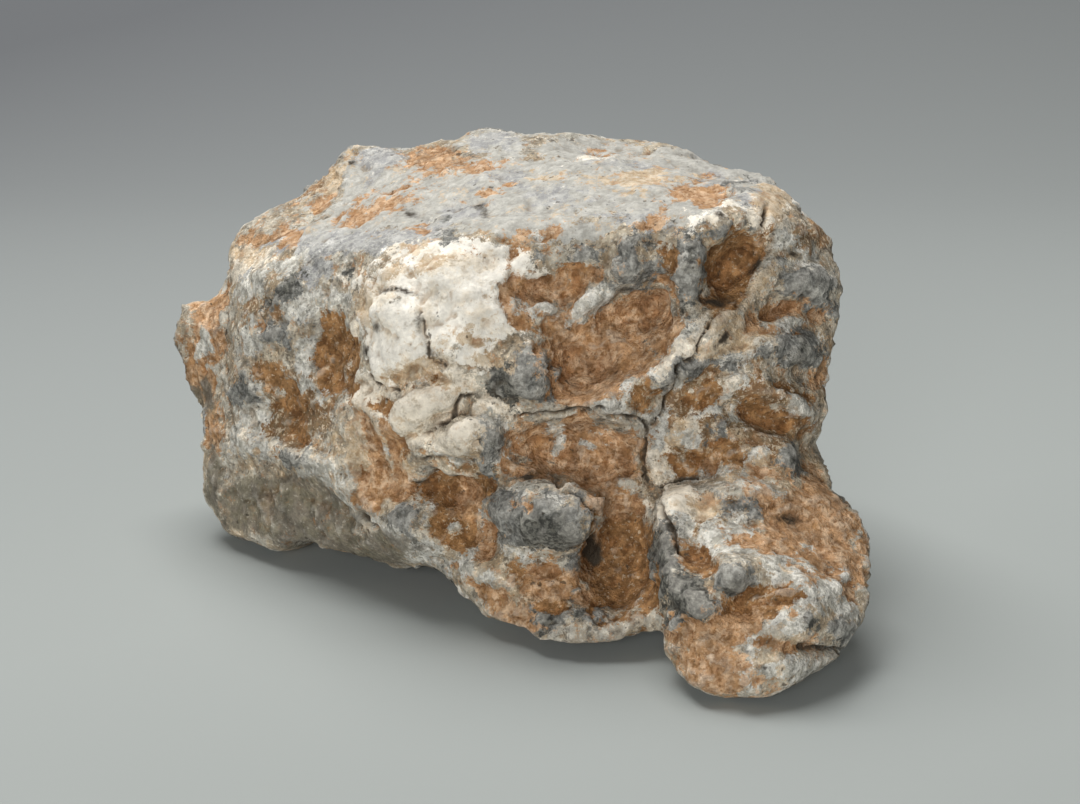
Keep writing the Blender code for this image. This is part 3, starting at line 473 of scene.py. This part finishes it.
def distance_to_line(right, up, line):
    """The distance from each place on the drawing to a line of straight stretches."""
    nearest = np.full(len(right), np.inf)
    for (right_a, up_a), (right_b, up_b) in zip(line, line[1:]):
        across, rise = right_b - right_a, up_b - up_a
        share = ((right - right_a) * across + (up - up_a) * rise) / (across**2 + rise**2)
        share = np.clip(share, 0, 1)
        gap = np.hypot(right - right_a - across * share, up - up_a - rise * share)
        nearest = np.minimum(nearest, gap)
    return nearest


def fine_skin(node):
    """A copy of the node on a fine even grid, with the facets of the solid rounded away."""
    mesh = node.data.copy()
    mesh.name = "stone_skin"
    stone = bpy.data.objects.new("stone_skin", mesh)
    bpy.context.scene.collection.objects.link(stone)
    weld = stone.modifiers.new("Weld", "WELD")
    weld.merge_threshold = WELD_GAP * MM
    remesh = stone.modifiers.new("Grid", "REMESH")
    remesh.mode = "VOXEL"
    remesh.voxel_size = SKIN_CELL * MM
    smooth = stone.modifiers.new("Round", "SMOOTH")
    smooth.factor = SKIN_SMOOTHING
    smooth.iterations = SKIN_SMOOTHING_ROUNDS
    graph = bpy.context.evaluated_depsgraph_get()
    fine = bpy.data.meshes.new_from_object(stone.evaluated_get(graph))
    stone.modifiers.clear()
    stone.data = fine
    return stone


# Where the eye point does not reach, each colour is strewn by noise: its wave length and level.
STREWN = {
    "umber": (4.0, 0.2),
    "chalk": (6.0, 0.2),
    "lilac": (3.6, 0.1),
    "terracotta": (4.4, 0.28),
    "ochre": (3.4, 0.12),
    "pale": (4.6, 0.18),
    "cream": (3.6, 0.22),
    "ash": (3.0, 0.28),
    "sand": (3.4, 0.2),
    "slate": (3.0, 0.2),
    "basalt_and_shade": (2.2, 0.0),
    "olive": (9.0, 0.1),
    "island": (1.8, -0.2),
    "soot_and_shadow": (1.0, -0.5),
}
STREWN_CONTRAST = 0.6  # how much the noise adds to or takes from the level
CHALK_ON_TOP = 0.5  # how much more chalk the level fracture on top has, where it is strewn
BLEND = (0.3, 0.7)  # painted patches take over from strewn ones between these shares of sight
BLEND_NOISE = 0.3  # and noise of this height and length breaks up the line
BLEND_NOISE_LENGTH = 2.0


def wandering_places(points):
    """The places on the drawing, pushed about so that oval patches get uneven edges."""
    right, up = places_on_drawing(points)
    right = right + WANDER * rough_noise(points, WANDER_LENGTH, octaves=2, seed=11)
    up = up + WANDER * rough_noise(points, WANDER_LENGTH, octaves=2, seed=21)
    return right, up


def colour_fields(points, seen, level):
    """Each colour's field at each point: 0.5 on the edge of a patch, more inside it."""
    right, up = wandering_places(points)
    painted = smooth_step(*BLEND, seen + BLEND_NOISE * noise(points, BLEND_NOISE_LENGTH, seed=31))
    fields = {}
    for index, (colour, patches) in enumerate(PATCHES.items()):
        length, share = STREWN[colour]
        noisy = rough_noise(points, length, octaves=3, seed=100 + 10 * index)
        strewn = share + STREWN_CONTRAST * noisy
        if colour == "chalk":
            strewn += CHALK_ON_TOP * level
        field = patch_field(right, up, patches, RINGS.get(colour, ()))
        field = field * painted + strewn * (1 - painted)
        if colour != "soot_and_shadow":
            ragged = rough_noise(points, RAGGED_LENGTH, octaves=3, seed=200 + 10 * index)
            field += RAGGED * ragged
        fields[colour] = field
    streaks = streak_field(right, up)
    fields["terracotta"] = np.maximum(fields["terracotta"], streaks * painted)
    return fields


STREAKS = (-8.2, -3.0, 2.6, 2.0, -60)  # the region of streaks below the cream lumps, as a patch
STREAK_SOURCE = (-9.2, 1.6)  # the streaks spread out from this place above them
STREAK_TURN = 0.11  # the angle between streaks
STREAK_LENGTH = 3.0
STREAK_LEVEL = 0.45  # the field between the streaks


def streak_field(right, up):
    """A field of long streaks that fan out downward."""
    across, rise = right - STREAK_SOURCE[0], up - STREAK_SOURCE[1]
    turn = np.arctan2(across, -rise)
    along = np.hypot(across, rise)
    fan = np.stack((turn / STREAK_TURN, along / STREAK_LENGTH, np.zeros(len(right))), axis=1)
    region = smooth_step(*BLEND, patch_field(right, up, (STREAKS,)))
    return np.clip(STREAK_LEVEL + rough_noise(fan, 1.0, octaves=2, seed=91), 0, 1) * region


CRACK_WANDER = 0.14
CRACK_WANDER_LENGTH = 0.7
CRACK_WALLS = (0.2, 1.5)  # a crack's walls rise from its floor between these, in half widths
FAR_FROM_CRACKS = 6.0  # half widths


def crack_fields(points):
    """How deep the cracks are at each point, and how many half widths away the nearest one is."""
    right, up = places_on_drawing(points)
    flat = np.stack((right, up, np.zeros(len(right))), axis=1)
    right = right + CRACK_WANDER * rough_noise(flat, CRACK_WANDER_LENGTH, octaves=2, seed=31)
    up = up + CRACK_WANDER * rough_noise(flat, CRACK_WANDER_LENGTH, octaves=2, seed=41)
    depth = np.zeros(len(right))
    nearest = np.full(len(right), np.inf)
    for half_width, deepest, line in CRACKS.values():
        gap = distance_to_line(right, up, line) / half_width
        depth = np.maximum(depth, deepest * (1 - smooth_step(*CRACK_WALLS, gap)))
        nearest = np.minimum(nearest, gap)
    return depth, np.minimum(nearest, FAR_FROM_CRACKS)


# The relief, in millimetres.
INSIDE = (0.42, 0.58)  # a point counts as in a patch between these levels of the field
CRUST_RISE = 0.16  # the white crust stands out by this much
SLATE_CRUST = 0.8  # and the slate by this share of it
SOIL_FALL = 0.14  # the soil lies this much lower
ROLL = 0.13  # the whole skin rolls by this much, with waves of this length
ROLL_LENGTH = 2.4
CRUMB_BEND = 0.25  # crumbs have their sides bent by this much, with waves of this length
CRUMB_BEND_LENGTH = 0.8
# Crumbs: size, height everywhere, more height on crusts and in soil, and seed.
CRUMBS = ((1.7, 0.08, 0.05, 0.0, 61), (0.8, 0.05, 0.03, 0.0, 171), (0.5, 0.02, 0.0, 0.06, 181))
# Pebbles and pits: size, height, the gaps between which it falls away, the share that has none,
# and seed.
PEBBLES_AND_PITS = ((1.0, 0.14, (0.1, 0.5), 0.6, 71), (1.5, -0.3, (0.12, 0.24), 0.55, 81))


def relief(points, fields):
    """The height of the grain, crumbs, pebbles and pits at each point."""
    inside = {colour: smooth_step(*INSIDE, field) for colour, field in fields.items()}
    soil = np.maximum(inside["terracotta"], inside["ochre"]) * (1 - inside["island"])
    crust = np.maximum(inside["pale"], SLATE_CRUST * inside["slate"]) * (1 - soil)
    lift = CRUST_RISE * crust - SOIL_FALL * soil
    lift += ROLL * rough_noise(points, ROLL_LENGTH, octaves=4, seed=51)
    bend = [noise(points, CRUMB_BEND_LENGTH, seed=151 + axis) for axis in range(3)]
    bent = points + CRUMB_BEND * np.stack(bend, axis=1)
    for size, height, on_crust, in_soil, seed in CRUMBS:
        lift += (height + on_crust * crust + in_soil * soil) * crumbs(bent, size, seed)
    for size, height, edge, share_without, seed in PEBBLES_AND_PITS:
        gap, number = pebbles(points, size, seed)
        lift += height * (1 - smooth_step(*edge, gap)) * (number > share_without)
    return lift


LEVEL = (0.6, 0.85)  # a face counts as level between these upward parts of its normal
UNDERSIDE = (-0.1, -0.6)  # and as the underside between these
GROUND_FADE = (-0.5, 1.5)  # the relief fades out between these heights
SMOOTHER_ON_TOP = 0.3  # how much of the relief the level fracture on top goes without
SMOOTHER_BELOW = 0.5  # and the underside


def model_surface(stone):
    """Adds the relief and the cracks, and keeps the colour fields as attributes of the mesh."""
    mesh = stone.data
    points = points_of(mesh)
    seen = share_seen(mesh, points)
    normals = normals_of(mesh)
    level = smooth_step(*LEVEL, normals[:, 2])
    under = smooth_step(*UNDERSIDE, normals[:, 2])
    fields = colour_fields(points, seen, level)
    depth, gap = crack_fields(points)
    lift = relief(points, fields) * (1 - SMOOTHER_ON_TOP * level) * (1 - SMOOTHER_BELOW * under)
    lift *= smooth_step(*GROUND_FADE, points[:, 2])
    lift += (form_heights(*wandering_places(points)) - depth) * seen
    points += normals * lift[:, None]
    points[:, 2] = np.maximum(points[:, 2], 0)
    place_points(mesh, points)
    fields["crack"] = gap + FAR_FROM_CRACKS * (1 - seen)
    fields["hollow"] = hollowness(mesh)
    for name, values in fields.items():
        attribute = mesh.attributes.new(name, "FLOAT", "POINT")
        attribute.data.foreach_set("value", values.astype(np.float32))


HOLLOW_REACH = 9  # how often the skin is evened out to find its hollows
HOLLOW_GAIN = 4


def hollowness(mesh):
    """0.5 on level skin, less on crests and more in creases, at the scale of a millimetre."""
    points = points_of(mesh)
    around = [averaged_over_neighbours(mesh, points[:, axis], HOLLOW_REACH) for axis in range(3)]
    bend = ((np.stack(around, axis=1) - points) * normals_of(mesh)).sum(axis=1)
    return np.clip(0.5 + HOLLOW_GAIN * bend, 0, 1)


MIX_UNDER, MIX_OVER, MIX_RESULT = 6, 7, 2  # the colour sockets of a mix node
SHIFT_WAY = (1.0, 0.7, 1.3)  # noises are shifted apart this way


class Nodes:
    """Short ways to add and join the nodes of one material."""

    def __init__(self, tree):
        self.tree = tree

    def add(self, kind, **inputs):
        node = self.tree.nodes.new(kind)
        for name, value in inputs.items():
            self.put(node.inputs[name], value)
        return node

    def put(self, socket, value):
        if isinstance(value, bpy.types.NodeSocket):
            self.tree.links.new(value, socket)
        else:
            socket.default_value = value

    def math(self, operation, first, second=0.0, third=0.0, clamp=False):
        node = self.tree.nodes.new("ShaderNodeMath")
        node.operation = operation
        node.use_clamp = clamp
        for socket, value in zip(node.inputs, (first, second, third)):
            self.put(socket, value)
        return node.outputs[0]

    def scaled(self, colour, factor):
        node = self.tree.nodes.new("ShaderNodeVectorMath")
        node.operation = "SCALE"
        self.put(node.inputs[0], colour)
        self.put(node.inputs["Scale"], factor)
        return node.outputs[0]

    def field(self, name):
        node = self.tree.nodes.new("ShaderNodeAttribute")
        node.attribute_name = name
        return node.outputs["Fac"]

    def noise(self, length, detail, roughness, shift):
        """Noise from 0 to 1 in the stone's own space, with waves of this many millimetres."""
        place = self.tree.nodes.new("ShaderNodeTexCoord").outputs["Object"]
        moved = self.tree.nodes.new("ShaderNodeVectorMath")
        moved.operation = "ADD"
        self.put(moved.inputs[0], place)
        self.put(moved.inputs[1], [shift * part for part in SHIFT_WAY])
        node = self.add("ShaderNodeTexNoise", Vector=moved.outputs[0], Scale=1 / (length * MM),
                        Detail=detail, Roughness=roughness)
        return node.outputs["Fac"]

    def ramp(self, value, low, high):
        """0 below low and 1 above high, with a smooth rise between."""
        node = self.tree.nodes.new("ShaderNodeMapRange")
        node.interpolation_type = "SMOOTHSTEP"
        self.put(node.inputs["Value"], value)
        self.put(node.inputs["From Min"], low)
        self.put(node.inputs["From Max"], high)
        return node.outputs["Result"]

    def mix(self, share, under, over, blend="MIX"):
        node = self.tree.nodes.new("ShaderNodeMix")
        node.data_type = "RGBA"
        node.blend_type = blend
        self.put(node.inputs["Factor"], share)
        for socket, colour in ((MIX_UNDER, under), (MIX_OVER, over)):
            is_socket = isinstance(colour, bpy.types.NodeSocket)
            self.put(node.inputs[socket], colour if is_socket else (*colour, 1))
        return node.outputs[MIX_RESULT]

    def layer(self, under, over, share, most):
        """One colour laid over another, at most this strongly."""
        return self.mix(self.math("MULTIPLY", share, most), under, over)


# Linear colours of the stone.
GREY_LIGHT = (0.45, 0.42, 0.35)
GREY_WARM = (0.34, 0.275, 0.19)
GREY_DARK = (0.18, 0.16, 0.125)
WHITE = (0.80, 0.755, 0.665)
CREAM = (0.74, 0.66, 0.535)
CREAM_DARK = (0.46, 0.385, 0.28)
STAIN = (0.56, 0.43, 0.285)
ASH = (0.37, 0.35, 0.295)
ASH_LIGHT = (0.63, 0.605, 0.54)
SAND = (0.44, 0.315, 0.185)
SAND_LIGHT = (0.60, 0.49, 0.35)
CHALK = (0.375, 0.36, 0.318)
CHALK_LIGHT = (0.47, 0.455, 0.408)
LILAC = (0.31, 0.305, 0.295)
LILAC_LIGHT = (0.44, 0.43, 0.40)
SLATE = (0.115, 0.113, 0.10)
SLATE_PALE = (0.27, 0.265, 0.24)
# dark grey of the small dark clasts, also laid as painted shade
BASALT_AND_SHADE = (0.06, 0.058, 0.05)
BASALT_AND_SHADE_PALE = (0.17, 0.165, 0.14)
TERRACOTTA = (0.44, 0.26, 0.135)
TERRACOTTA_DARK = (0.27, 0.14, 0.055)
TERRACOTTA_PALE = (0.63, 0.44, 0.28)
OCHRE = (0.36, 0.195, 0.08)
OCHRE_DARK = (0.20, 0.10, 0.035)
UMBER = (0.23, 0.155, 0.08)
# the dull olive of the lower left band, partly painted shade
OLIVE = (0.155, 0.135, 0.088)
# the black of specks and pits, and of the painted shade in cracks and shadows
SOOT_AND_SHADE = (0.045, 0.034, 0.022)
# the tint of the painted shade laid into creases
CREASE_SHADE_TINT = (0.5, 0.37, 0.25)
WARM_TINT = (1.0, 0.86, 0.68)

# The noises of the skin: wave length in millimetres, detail, roughness and shift.
NOISES = {
    "grain": (0.22, 3, 0.7, 1),
    "fine": (0.5, 4, 0.75, 2),
    "middle": (1.3, 5, 0.7, 3),
    "broad": (3.2, 4, 0.7, 4),
    "dots": (0.45, 2, 0.5, 7),
    "soil on grey": (0.7, 4, 0.8, 9),
    "stains on white": (0.9, 4, 0.8, 11),
    "stains on ash": (0.8, 4, 0.8, 12),
    "stains on chalk": (1.1, 5, 0.8, 13),
    "stains on cream": (0.9, 4, 0.8, 14),
    "soil on olive": (1.0, 4, 0.8, 17),
}

# How each colour is mixed. First come a noise, the tones at its low and high end, and the levels
# between which one turns into the other. Each kind of speck follows: a noise, the colour, the
# levels between which it sets in, and how strong it is.
MIXTURES = {
    "grey": (
        ("middle", GREY_WARM, GREY_LIGHT, 0.42, 0.58),
        ("fine", GREY_DARK, 0.52, 0.62, 1.0),
        ("soil on grey", TERRACOTTA, 0.56, 0.62, 0.7),
        ("grain", CREAM, 0.55, 0.65, 0.7),
    ),
    "umber": (
        ("fine", OCHRE_DARK, UMBER, 0.42, 0.58),
        ("grain", SAND_LIGHT, 0.53, 0.6, 0.85),
        ("middle", OCHRE, 0.52, 0.6, 0.6),
    ),
    "sand": (
        ("fine", SAND, SAND_LIGHT, 0.42, 0.58),
        ("middle", TERRACOTTA, 0.54, 0.6, 0.7),
    ),
    "chalk": (
        ("fine", CHALK, CHALK_LIGHT, 0.42, 0.58),
        ("fine", LILAC, 0.60, 0.68, 0.7),
        ("stains on chalk", STAIN, 0.57, 0.64, 0.7),
    ),
    "lilac": (
        ("fine", LILAC, LILAC_LIGHT, 0.42, 0.58),
        ("grain", WHITE, 0.6, 0.68, 0.6),
    ),
    "pale": (
        ("middle", CREAM, WHITE, 0.36, 0.52),
        ("fine", GREY_WARM, 0.58, 0.7, 0.6),
        ("stains on white", STAIN, 0.58, 0.66, 0.7),
    ),
    "cream": (
        ("fine", CREAM, CREAM_DARK, 0.52, 0.66),
        ("stains on cream", STAIN, 0.54, 0.62, 0.7),
    ),
    "ash": (
        ("fine", ASH_LIGHT, ASH, 0.44, 0.58),
        ("grain", SLATE, 0.58, 0.66, 0.7),
        ("stains on ash", STAIN, 0.56, 0.62, 0.7),
    ),
    "slate": (
        ("grain", SLATE, SLATE_PALE, 0.40, 0.62),
        ("fine", ASH_LIGHT, 0.58, 0.68, 0.5),
    ),
    "basalt_and_shade": (
        ("grain", BASALT_AND_SHADE, BASALT_AND_SHADE_PALE, 0.42, 0.58),
    ),
    "ochre": (
        ("fine", OCHRE_DARK, OCHRE, 0.42, 0.58),
        ("grain", SAND_LIGHT, 0.57, 0.66, 0.6),
    ),
    "terracotta": (
        ("grain", TERRACOTTA_DARK, TERRACOTTA, 0.38, 0.54),
        ("fine", TERRACOTTA_PALE, 0.48, 0.6, 0.85),
        ("middle", OCHRE, 0.52, 0.62, 0.6),
    ),
    "olive": (
        ("middle", GREY_DARK, OLIVE, 0.42, 0.58),
        ("grain", GREY_LIGHT, 0.58, 0.68, 0.5),
        ("soil on olive", TERRACOTTA_DARK, 0.6, 0.66, 0.7),
    ),
}

# The layers over the grey, from the lowest up: the field, the mixture, how far noise breaks up
# the edge of the patches, the shift of that noise, how soft the edge is, and the strength.
LAYERS = (
    ("umber", "umber", 1.6, 0, 0.05, 0.9),
    ("chalk", "chalk", 1.6, 1, 0.05, 1.0),
    ("lilac", "lilac", 1.8, 2, 0.05, 1.0),
    ("pale", "pale", 1.6, 3, 0.05, 1.0),
    ("cream", "cream", 1.5, 12, 0.05, 1.0),
    ("sand", "sand", 1.6, 10, 0.05, 0.9),
    ("ash", "ash", 1.6, 11, 0.05, 1.0),
    ("slate", "slate", 1.6, 4, 0.05, 1.0),
    ("basalt_and_shade", "basalt_and_shade", 1.4, 5, 0.05, 1.0),
    ("ochre", "ochre", 1.4, 6, 0.05, 1.0),
    ("terracotta", "terracotta", 1.5, 7, 0.05, 1.0),
    ("island", "ash", 1.2, 14, 0.05, 1.0),
    ("olive", "olive", 0.8, 8, 0.15, 0.85),
)
SOOT_AND_SHADOW_EDGE = (0.4, 9, 0.1)  # the same three numbers for the sooty pits and the painted shadows among them
PATCH_NOISE = (0.5, 5, 0.8)  # length, detail and roughness of the noise on the edges
PATCH_NOISE_SHIFT = 20

WARM_LEVELS = (0.46, 0.6)  # the grey is warmer between these levels of the broad noise
WARM_STRENGTH = 0.5
CREASE_LEVELS = (0.54, 0.9)  # painted shade: creases are darker between these levels of the hollow field
CREASE_STRENGTH = 0.55
CREST_LEVELS = (0.42, 0.1)  # and crests paler, as a painted highlight
CREST_STRENGTH = 0.2
DOT_LEVELS = (0.70, 0.74)
DOT_STRENGTH = 0.7
CRACK_LEVELS = (1.25, 0.5)  # painted shade: cracks are dark within these half widths
CRACK_STRENGTH = 0.85
# Mottling over all colours: length in millimetres, contrast, and the shift of the noise.
MOTTLES = ((0.35, 1.5, 15), (1.0, 1.8, 16))
MOTTLE_NOISE = (3, 0.7)  # detail and roughness
CALM = 0.5  # how much of the mottling and of the bumps the white and chalky crusts go without
ROUGHNESS = (0.3, 0.68)  # the share of the grain in it, and its least value
SPECULAR = 0.3
BUMP = 0.32  # millimetres
BUMP_GRAIN = 0.3  # the share of the grain in the bumps


def mixture(nodes, noises, name):
    """One colour of the skin, with its tones and its specks."""
    (tone_noise, low_tone, high_tone, low, high), *specks = MIXTURES[name]
    colour = nodes.mix(nodes.ramp(noises[tone_noise], low, high), low_tone, high_tone)
    for speck_noise, speck, low, high, strength in specks:
        colour = nodes.layer(colour, speck, nodes.ramp(noises[speck_noise], low, high), strength)
    return colour


def patch_share(nodes, field, spread, shift, soft):
    """Where a field's patches are, with their edges broken up by noise."""
    broken = nodes.math("SUBTRACT", nodes.noise(*PATCH_NOISE, PATCH_NOISE_SHIFT + shift), 0.5)
    ragged = nodes.math("MULTIPLY", broken, spread)
    return nodes.ramp(nodes.math("ADD", nodes.field(field), ragged), 0.5 - soft, 0.5 + soft)


def mottled(nodes, colour, lively):
    """The colour with lighter and darker speckles, stronger where it is lively."""
    for length, contrast, shift in MOTTLES:
        speckle = nodes.math("SUBTRACT", nodes.noise(length, *MOTTLE_NOISE, shift), 0.5)
        speckle = nodes.math("MULTIPLY", speckle, lively)
        colour = nodes.scaled(colour, nodes.math("MULTIPLY_ADD", speckle, contrast, 1.0))
    return colour


def skin_colour(nodes, noises):
    """The colour of the skin, and how lively it is: less on the white and chalky crusts."""
    mixtures = {name: mixture(nodes, noises, name) for name in MIXTURES}
    warmth = nodes.math("MULTIPLY", nodes.ramp(noises["broad"], *WARM_LEVELS), WARM_STRENGTH)
    colour = nodes.mix(warmth, mixtures["grey"], WARM_TINT, "MULTIPLY")
    shares = {}
    for field, name, spread, shift, soft, strength in LAYERS:
        shares[field] = patch_share(nodes, field, spread, shift, soft)
        colour = nodes.layer(colour, mixtures[name], shares[field], strength)
    hollow = nodes.field("hollow")
    # painted shade in the creases
    crease = nodes.math("MULTIPLY", nodes.ramp(hollow, *CREASE_LEVELS), CREASE_STRENGTH)
    colour = nodes.mix(crease, colour, CREASE_SHADE_TINT, "MULTIPLY")
    # a painted highlight on the crests
    colour = nodes.layer(colour, WHITE, nodes.ramp(hollow, *CREST_LEVELS), CREST_STRENGTH)
    calm = nodes.math("MAXIMUM", shares["chalk"], shares["pale"])
    lively = nodes.math("MULTIPLY_ADD", calm, -CALM, 1.0)
    colour = mottled(nodes, colour, lively)
    colour = nodes.layer(colour, SOOT_AND_SHADE, nodes.ramp(noises["dots"], *DOT_LEVELS), DOT_STRENGTH)
    # black specks, pits and painted shadows from the patches
    colour = nodes.layer(colour, SOOT_AND_SHADE, patch_share(nodes, "soot_and_shadow", *SOOT_AND_SHADOW_EDGE), 1.0)
    # painted shade in the cracks
    crack = nodes.ramp(nodes.field("crack"), *CRACK_LEVELS)
    return nodes.layer(colour, SOOT_AND_SHADE, crack, CRACK_STRENGTH), lively


def new_material(name):
    """A material with its shader, and the short ways to add nodes to it."""
    material = bpy.data.materials.new(name)
    material.use_nodes = True
    tree = material.node_tree
    return material, tree.nodes["Principled BSDF"], Nodes(tree)


def stone_material():
    material, shader, nodes = new_material("weathered_breccia_skin")
    noises = {name: nodes.noise(*settings) for name, settings in NOISES.items()}
    colour, lively = skin_colour(nodes, noises)
    grain = noises["grain"]
    nodes.put(shader.inputs["Base Color"], colour)
    nodes.put(shader.inputs["Roughness"], nodes.math("MULTIPLY_ADD", grain, *ROUGHNESS))
    shader.inputs["Specular IOR Level"].default_value = SPECULAR
    height = nodes.math("MULTIPLY", noises["fine"], 1 - BUMP_GRAIN)
    height = nodes.math("MULTIPLY_ADD", grain, BUMP_GRAIN, height)
    bump = nodes.add("ShaderNodeBump", Height=height, Strength=lively, Distance=BUMP * MM)
    nodes.put(shader.inputs["Normal"], bump.outputs["Normal"])
    return material


PAPER_NEAR = (0.345, 0.365, 0.35)
PAPER_FAR = (0.125, 0.13, 0.135)
PAPER_FADE = 190  # painted shade: the paper darkens over this length behind the stone, in millimetres
PAPER_SKEW = 0.5  # and sooner on the left by this much
PAPER_ROUGHNESS = 0.9
PAPER_SPECULAR = 0.2


def paper_material():
    material, shader, nodes = new_material("paper")
    place = nodes.add("ShaderNodeTexCoord").outputs["Object"]
    axes = nodes.add("ShaderNodeSeparateXYZ", Vector=place)
    skew = nodes.math("MULTIPLY", axes.outputs["X"], PAPER_SKEW)
    back = nodes.math("SUBTRACT", axes.outputs["Y"], skew)
    share = nodes.math("DIVIDE", back, PAPER_FADE * MM, clamp=True)
    # painted shade: the paper's colour darkens towards the back and the left
    nodes.put(shader.inputs["Base Color"], nodes.mix(share, PAPER_NEAR, PAPER_FAR))
    shader.inputs["Roughness"].default_value = PAPER_ROUGHNESS
    shader.inputs["Specular IOR Level"].default_value = PAPER_SPECULAR
    return material


SWEEP_WIDTH = 1400
SWEEP_FRONT = -400
SWEEP_BACK = 260
SWEEP_RADIUS = 160
SWEEP_HEIGHT = 900
SWEEP_STEPS = 24


def make_sweep():
    """A pale floor that curves up into a backdrop."""
    profile = [(SWEEP_FRONT, 0.0), (SWEEP_BACK - SWEEP_RADIUS, 0.0)]
    for step in range(1, SWEEP_STEPS + 1):
        angle = math.pi / 2 * step / SWEEP_STEPS
        profile.append((
            SWEEP_BACK - SWEEP_RADIUS * (1 - math.sin(angle)),
            SWEEP_RADIUS * (1 - math.cos(angle)),
        ))
    profile.append((SWEEP_BACK, SWEEP_HEIGHT))
    points = [(x * MM, y * MM, z * MM) for y, z in profile for x in (-SWEEP_WIDTH / 2, SWEEP_WIDTH / 2)]
    faces = [(i, i + 1, i + 3, i + 2) for i in range(0, len(points) - 2, 2)]
    mesh = bpy.data.meshes.new("sweep")
    mesh.from_pydata(points, [], faces)
    mesh.shade_smooth()
    mesh.materials.append(paper_material())
    sweep = bpy.data.objects.new("sweep", mesh)
    bpy.context.scene.collection.objects.link(sweep)


def turn_towards(thing, direction):
    thing.rotation_mode = "QUATERNION"
    thing.rotation_quaternion = Vector(direction).to_track_quat("-Z", "Y")


def make_camera():
    camera = bpy.data.objects.new("camera", bpy.data.cameras.new("camera"))
    camera.data.lens = LENS
    camera.data.sensor_width = SENSOR
    camera.data.clip_start = CLIP_START * MM
    camera.location = Vector(EYE) * MM
    turn_towards(camera, AHEAD)
    bpy.context.scene.collection.objects.link(camera)
    bpy.context.scene.camera = camera


# Soft lights: place in millimetres, edge length and power in watts.
LIGHTS = {
    "key": ((-50, 95, 260), 200, 1.05),
    "fill": ((-60, -330, 90), 160, 0.8),
}
AMBIENT = (0.1, 0.102, 0.104)


def make_lights():
    for name, (place, size, power) in LIGHTS.items():
        light = bpy.data.lights.new(name, "AREA")
        light.size = size * MM
        light.energy = power
        lamp = bpy.data.objects.new(name, light)
        lamp.location = Vector(place) * MM
        turn_towards(lamp, -Vector(place))
        bpy.context.scene.collection.objects.link(lamp)
    world = bpy.data.worlds.new("studio")
    world.use_nodes = True
    world.node_tree.nodes["Background"].inputs["Color"].default_value = (*AMBIENT, 1)
    bpy.context.scene.world = world
    bpy.context.scene.view_settings.view_transform = "Standard"


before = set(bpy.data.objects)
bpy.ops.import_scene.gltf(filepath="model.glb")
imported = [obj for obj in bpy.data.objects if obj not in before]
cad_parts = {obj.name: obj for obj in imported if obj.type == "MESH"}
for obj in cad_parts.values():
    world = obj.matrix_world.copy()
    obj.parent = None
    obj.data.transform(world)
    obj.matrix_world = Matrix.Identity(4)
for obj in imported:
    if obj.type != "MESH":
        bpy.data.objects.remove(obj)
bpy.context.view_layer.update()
make_camera()
make_lights()
make_sweep()
stone = fine_skin(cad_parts[NODE])
model_surface(stone)
stone.data.shade_smooth()
stone.data.materials.clear()
stone.data.materials.append(stone_material())
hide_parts(NODE)
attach(stone, "root")
